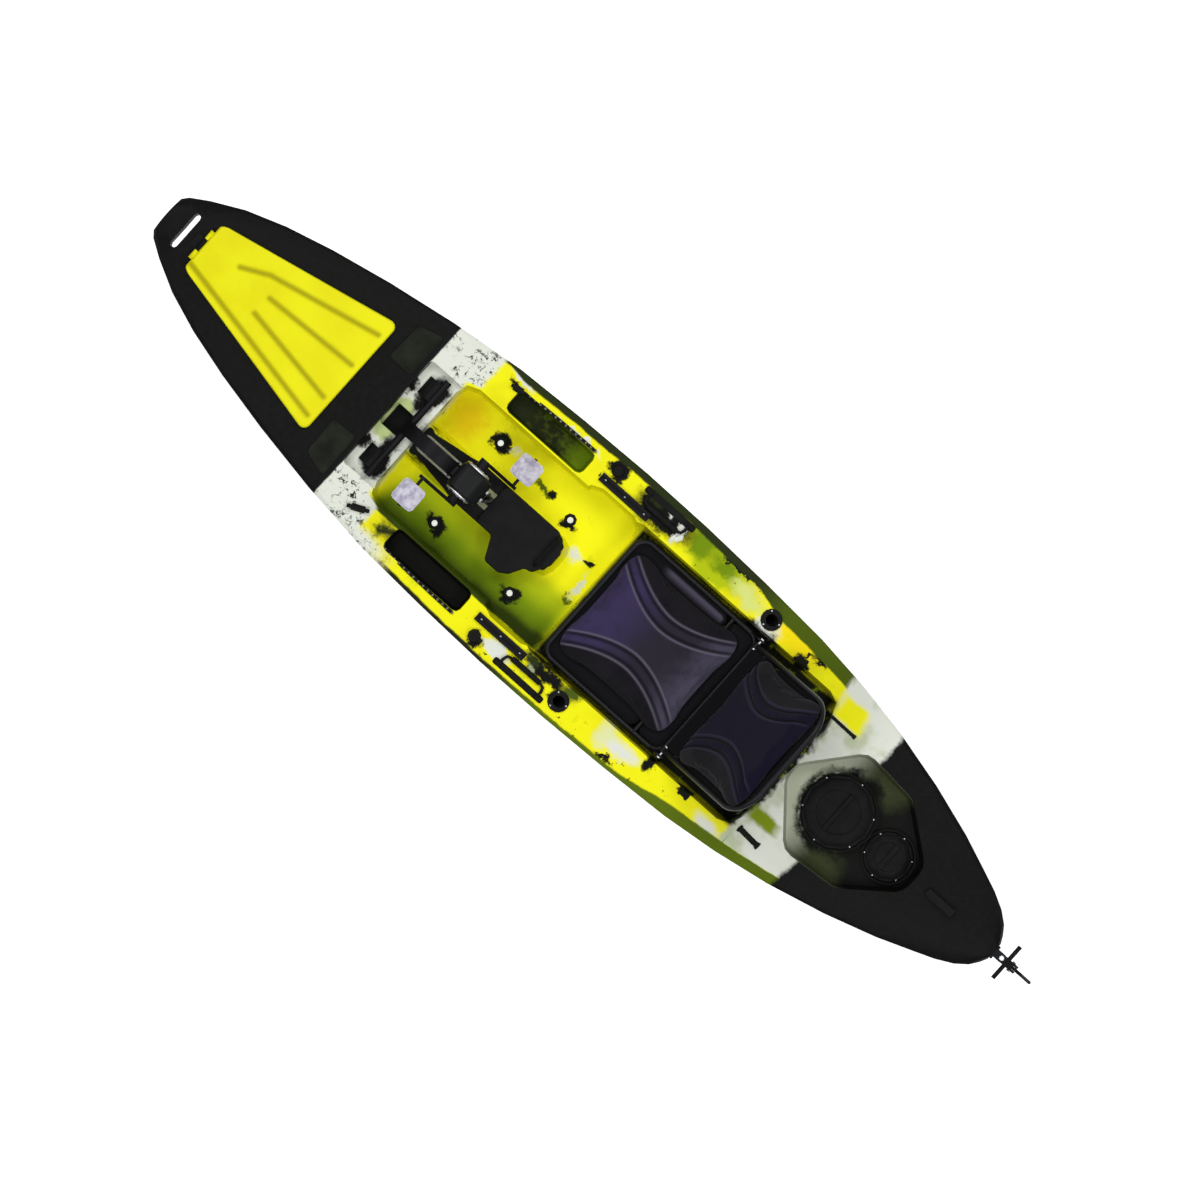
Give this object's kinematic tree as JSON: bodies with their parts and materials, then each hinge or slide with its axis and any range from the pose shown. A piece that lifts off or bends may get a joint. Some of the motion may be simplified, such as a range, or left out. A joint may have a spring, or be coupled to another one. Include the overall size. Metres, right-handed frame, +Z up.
{
  "type": "pedal-drive fishing kayak",
  "caption": "Sit-on-top fishing kayak with a hinged bow hatch, framed reclining seat, geared pedal drive with propeller, and a kick-up rudder turned by a knob.",
  "frame": {"origin": "on the keel line's flat strip at mid hull, under the centre line", "axes": "+X towards the bow, +Y to port, +Z up"},
  "size_m": [3.9239, 0.8544, 1.0495],
  "materials": {
    "hull_plastic": "rotomoulded, marbled",
    "black_plastic": "fine moulded grain",
    "lid_plastic": "rotomoulded",
    "seal_rubber": "closed-cell",
    "steel": "satin",
    "silver": "satin",
    "track": "black anodised",
    "frame_tube": "black anodised",
    "mesh": "woven mesh",
    "seat_fabric": "dense weave",
    "drive_black": "moulded",
    "pedal_plastic": "moulded, textured",
    "prop_plastic": "moulded",
    "arm_alu": "black painted"
  },
  "bodies": {
    "hull_body": {"hull": "hull_plastic", "bow_hatch_seal": "seal_rubber", "bow_hatch_hinge": "black_plastic", "screw_hatch_ring": "black_plastic", "day_hatch_ring": "black_plastic", "scupper_1": "black_plastic", "scupper_2": "black_plastic", "scupper_3": "black_plastic", "scupper_4": "black_plastic", "rod_holder_port": "black_plastic", "rod_holder_starboard": "black_plastic", "carry_handle_mount_port": "black_plastic", "carry_handle_mount_starboard": "black_plastic", "steering_base": "black_plastic", "stern_handle": "black_plastic", "drive_well_frame": "black_plastic", "drive_well_cover": "black_plastic", "tube_saddle_port": "black_plastic", "tube_saddle_starboard": "black_plastic", "bow_hatch_hinge_pin": "steel", "seat_pivot_pin_port": "steel", "seat_pivot_pin_starboard": "steel", "arm_hinge_bolt": "steel", "rudder_pin": "steel", "crank_cover_port": "silver", "crank_cover_starboard": "silver", "propeller_bearing": "silver", "gear_track_port": "track", "gear_track_starboard": "track", "seat_base_frame": "frame_tube", "arm_cross_tube": "frame_tube", "seat_sling": "mesh", "seat_cushion": "seat_fabric", "drive_housing": "drive_black", "gearcase": "drive_black", "mounting_arm": "arm_alu", "rudder_bracket": "arm_alu"},
    "bow_lid": {"bow_hatch_lid": "lid_plastic"},
    "screw_lid": {"screw_hatch_lid": "black_plastic"},
    "day_lid": {"day_hatch_lid": "black_plastic"},
    "seat_back": {"seat_back_frame": "frame_tube", "back_sling": "mesh", "back_cushion": "seat_fabric"},
    "cranks": {"crank_axle": "steel", "crank_gear": "steel", "crank_arm_port": "arm_alu", "crank_arm_starboard": "arm_alu"},
    "left_pedal": {"pedal_port": "pedal_plastic"},
    "right_pedal": {"pedal_starboard": "pedal_plastic"},
    "upright_shaft": {"drive_shaft": "steel", "shaft_gear": "steel"},
    "prop": {"propeller_shaft": "steel", "propeller": "prop_plastic"},
    "knob": {"steering_knob": "black_plastic"},
    "rudder": {"rudder_head": "black_plastic", "rudder_bolt": "steel"},
    "blade": {"rudder_blade": "black_plastic"},
    "left_handle": {"carry_handle_port": "black_plastic"},
    "right_handle": {"carry_handle_starboard": "black_plastic"}
  },
  "joints": [
    {"name": "bow_lid_hinge", "type": "hinge", "parent": "hull_body", "child": "bow_lid", "pos_m": [1.7174, 0, 0.4089], "axis": [0, 1, 0], "range_deg": [0, 105]},
    {"name": "screw_lid_turn", "type": "hinge", "parent": "hull_body", "child": "screw_lid", "pos_m": [-1.16987, 0, 0.265], "axis": [0, 0, 1], "range_deg": [0, 90]},
    {"name": "day_lid_turn", "type": "hinge", "parent": "hull_body", "child": "day_lid", "pos_m": [-1.39889, 0, 0.237], "axis": [0, 0, 1], "range_deg": [0, 90]},
    {"name": "seat_back_fold", "type": "hinge", "parent": "hull_body", "child": "seat_back", "pos_m": [-0.588, 0, 0.302], "axis": [0, 1, 0], "range_deg": [0, 100]},
    {"name": "crank_spin", "type": "hinge", "parent": "hull_body", "child": "cranks", "pos_m": [0.512, 0, 0.342], "axis": [0, 1, 0], "continuous": true},
    {"name": "left_pedal_spin", "type": "hinge", "parent": "cranks", "child": "left_pedal", "pos_m": [0.6322, 0.165, 0.4622], "axis": [0, 1, 0], "continuous": true},
    {"name": "right_pedal_spin", "type": "hinge", "parent": "cranks", "child": "right_pedal", "pos_m": [0.3918, -0.165, 0.2218], "axis": [0, 1, 0], "continuous": true},
    {"name": "shaft_spin", "type": "hinge", "parent": "hull_body", "child": "upright_shaft", "pos_m": [0.512, 0, 0.1], "axis": [0, 0, 1], "continuous": true},
    {"name": "prop_spin", "type": "hinge", "parent": "hull_body", "child": "prop", "pos_m": [0.43, 0, -0.175], "axis": [1, 0, 0], "continuous": true},
    {"name": "knob_turn", "type": "hinge", "parent": "hull_body", "child": "knob", "pos_m": [0.15, 0.374, 0.32], "axis": [0, 0, 1], "range_deg": [-60, 60]},
    {"name": "rudder_turn", "type": "hinge", "parent": "hull_body", "child": "rudder", "pos_m": [-1.909, 0, 0.3], "axis": [0, 0, 1], "range_deg": [-45, 45]},
    {"name": "blade_kick", "type": "hinge", "parent": "rudder", "child": "blade", "pos_m": [-1.956, 0, 0.268], "axis": [0, 1, 0], "range_deg": [0, 95]},
    {"name": "left_handle_lift", "type": "hinge", "parent": "hull_body", "child": "left_handle", "pos_m": [-0.06, 0.388, 0.3193], "axis": [-1, 0, 0], "range_deg": [0, 100]},
    {"name": "right_handle_lift", "type": "hinge", "parent": "hull_body", "child": "right_handle", "pos_m": [-0.06, -0.388, 0.3193], "axis": [1, 0, 0], "range_deg": [0, 100]}
  ],
  "couplings": [
    {"joint": "shaft_spin", "follows": "crank_spin", "ratio": 4},
    {"joint": "prop_spin", "follows": "crank_spin", "ratio": 10},
    {"joint": "rudder_turn", "follows": "knob_turn", "ratio": 0.75}
  ]
}
